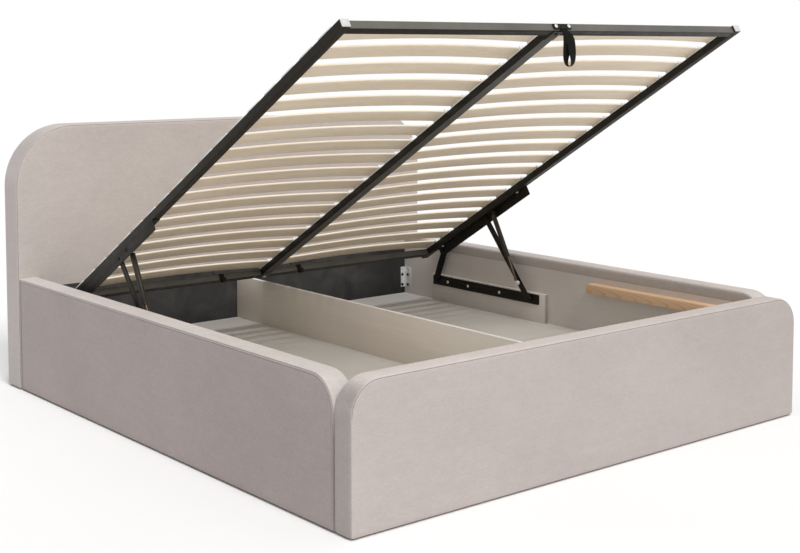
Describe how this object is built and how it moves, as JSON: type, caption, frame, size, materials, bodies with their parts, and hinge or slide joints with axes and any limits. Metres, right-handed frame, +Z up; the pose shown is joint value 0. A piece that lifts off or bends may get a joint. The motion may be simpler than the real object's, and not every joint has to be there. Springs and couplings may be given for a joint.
{
  "type": "storage bed",
  "caption": "Upholstered storage bed with a tall rounded headboard, side rails and a slatted platform lifted on gas springs above two compartments.",
  "frame": {"origin": "on the floor, under the middle of the bed's outline", "axes": "+X right seen from the foot, +Y toward the headboard, +Z up"},
  "size_m": [1.99, 2.195, 1.387],
  "materials": {
    "greige_velvet": "short pile upholstery fabric",
    "chipboard": "raw chipboard",
    "charcoal_lining": "non-woven lining",
    "beige_laminate": "matt laminate on board",
    "pale_floor_panel": "matt pale hardboard",
    "white_edging": "edge banding",
    "pine": "raw planed pine",
    "birch": "bent birch plywood",
    "black_plastic": "matt moulding",
    "white_plastic": "matt moulding",
    "black_steel": "satin powder coat",
    "dark_rod": "dark hardened rod",
    "zinc_steel": "zinc plated",
    "black_webbing": "woven webbing"
  },
  "bodies": {
    "bed_base": {"headboard_core": "chipboard", "headboard_upholstery": "greige_velvet", "headboard_lining": "charcoal_lining", "footboard_core": "chipboard", "footboard_upholstery": "greige_velvet", "footboard_inner_board": "beige_laminate", "side_rail_core_left": "chipboard", "side_rail_core_right": "chipboard", "side_rail_upholstery_left": "greige_velvet", "side_rail_upholstery_right": "greige_velvet", "side_rail_inner_board_left": "beige_laminate", "side_rail_inner_board_right": "beige_laminate", "divider_board": "beige_laminate", "divider_edging": "white_edging", "floor_panel_left": "pale_floor_panel", "floor_panel_right": "pale_floor_panel", "floor_bearers": "chipboard", "support_feet": "black_plastic", "floor_glides": "black_plastic", "lift_mount_board_left": "beige_laminate", "lift_mount_board_right": "beige_laminate", "lift_base_plate_left": "black_steel", "lift_base_plate_right": "black_steel", "base_plate_screws": "zinc_steel", "base_pivots": "black_steel", "ledge_batten_left": "pine", "ledge_batten_right": "pine", "corner_brackets": "zinc_steel", "bracket_screws": "black_steel"},
    "platform": {"side_tube_left": "black_steel", "side_tube_right": "black_steel", "centre_beam": "black_steel", "head_tube": "black_steel", "foot_tube": "black_steel", "tube_end_caps": "white_plastic", "lift_angle_left": "black_steel", "lift_angle_right": "black_steel", "frame_bolts": "zinc_steel", "platform_pivots": "black_steel", "slats_left": "birch", "slats_right": "birch", "slat_holders_left": "white_plastic", "slat_holders_right": "white_plastic", "slat_holders_centre": "white_plastic", "pull_strap": "black_webbing", "strap_plate": "black_steel", "strap_screws": "zinc_steel", "head_clips": "black_steel"},
    "front_arm_right": {"front_arm_right": "black_steel"},
    "rear_link_right": {"rear_link_right": "black_steel"},
    "gas_cylinder_right": {"gas_cylinder_right": "black_steel", "gas_collar_right": "zinc_steel"},
    "gas_rod_right": {"gas_rod_right": "dark_rod", "gas_end_stud_right": "zinc_steel"},
    "front_arm_left": {"front_arm_left": "black_steel"},
    "rear_link_left": {"rear_link_left": "black_steel"},
    "gas_cylinder_left": {"gas_cylinder_left": "black_steel", "gas_collar_left": "zinc_steel"},
    "gas_rod_left": {"gas_rod_left": "dark_rod", "gas_end_stud_left": "zinc_steel"}
  },
  "joints": [
    {"name": "platform_lift", "type": "hinge", "parent": "front_arm_right", "child": "platform", "pos_m": [0.876, 0.38659, 0.56768], "axis": [1, 0, 0], "range_deg": [0, 67.66]},
    {"name": "front_arm_right_pivot", "type": "hinge", "parent": "bed_base", "child": "front_arm_right", "pos_m": [0.876, 0.12737, 0.255], "axis": [1, 0, 0], "range_deg": [-36.98, 0]},
    {"name": "rear_link_right_pivot", "type": "hinge", "parent": "bed_base", "child": "rear_link_right", "pos_m": [0.8865, 0.7286, 0.255], "axis": [1, 0, 0], "range_deg": [-74.83, 0]},
    {"name": "gas_cylinder_right_pivot", "type": "hinge", "parent": "platform", "child": "gas_cylinder_right", "pos_m": [0.861, 0.33325, 0.60516], "axis": [1, 0, 0], "range_deg": [-74.85, 0]},
    {"name": "gas_rod_right_slide", "type": "slide", "parent": "gas_cylinder_right", "child": "gas_rod_right", "axis": [0, -0.4717, -0.8818], "range_m": [-0.06289, 0]},
    {"name": "front_arm_left_pivot", "type": "hinge", "parent": "bed_base", "child": "front_arm_left", "pos_m": [-0.876, 0.12737, 0.255], "axis": [1, 0, 0], "range_deg": [-36.98, 0]},
    {"name": "rear_link_left_pivot", "type": "hinge", "parent": "bed_base", "child": "rear_link_left", "pos_m": [-0.8865, 0.7286, 0.255], "axis": [1, 0, 0], "range_deg": [-74.83, 0]},
    {"name": "gas_cylinder_left_pivot", "type": "hinge", "parent": "platform", "child": "gas_cylinder_left", "pos_m": [-0.861, 0.33325, 0.60516], "axis": [1, 0, 0], "range_deg": [-74.85, 0]},
    {"name": "gas_rod_left_slide", "type": "slide", "parent": "gas_cylinder_left", "child": "gas_rod_left", "axis": [0, -0.4717, -0.8818], "range_m": [-0.06289, 0]}
  ],
  "couplings": [
    {"joint": "front_arm_right_pivot", "follows": "platform_lift", "ratio": -0.54626},
    {"joint": "rear_link_right_pivot", "follows": "platform_lift", "ratio": -1.1057},
    {"joint": "gas_cylinder_right_pivot", "follows": "platform_lift", "ratio": -1.106},
    {"joint": "gas_rod_right_slide", "follows": "platform_lift", "m_per_rad": -0.05309},
    {"joint": "front_arm_left_pivot", "follows": "platform_lift", "ratio": -0.54626},
    {"joint": "rear_link_left_pivot", "follows": "platform_lift", "ratio": -1.1057},
    {"joint": "gas_cylinder_left_pivot", "follows": "platform_lift", "ratio": -1.106},
    {"joint": "gas_rod_left_slide", "follows": "platform_lift", "m_per_rad": -0.05309}
  ]
}
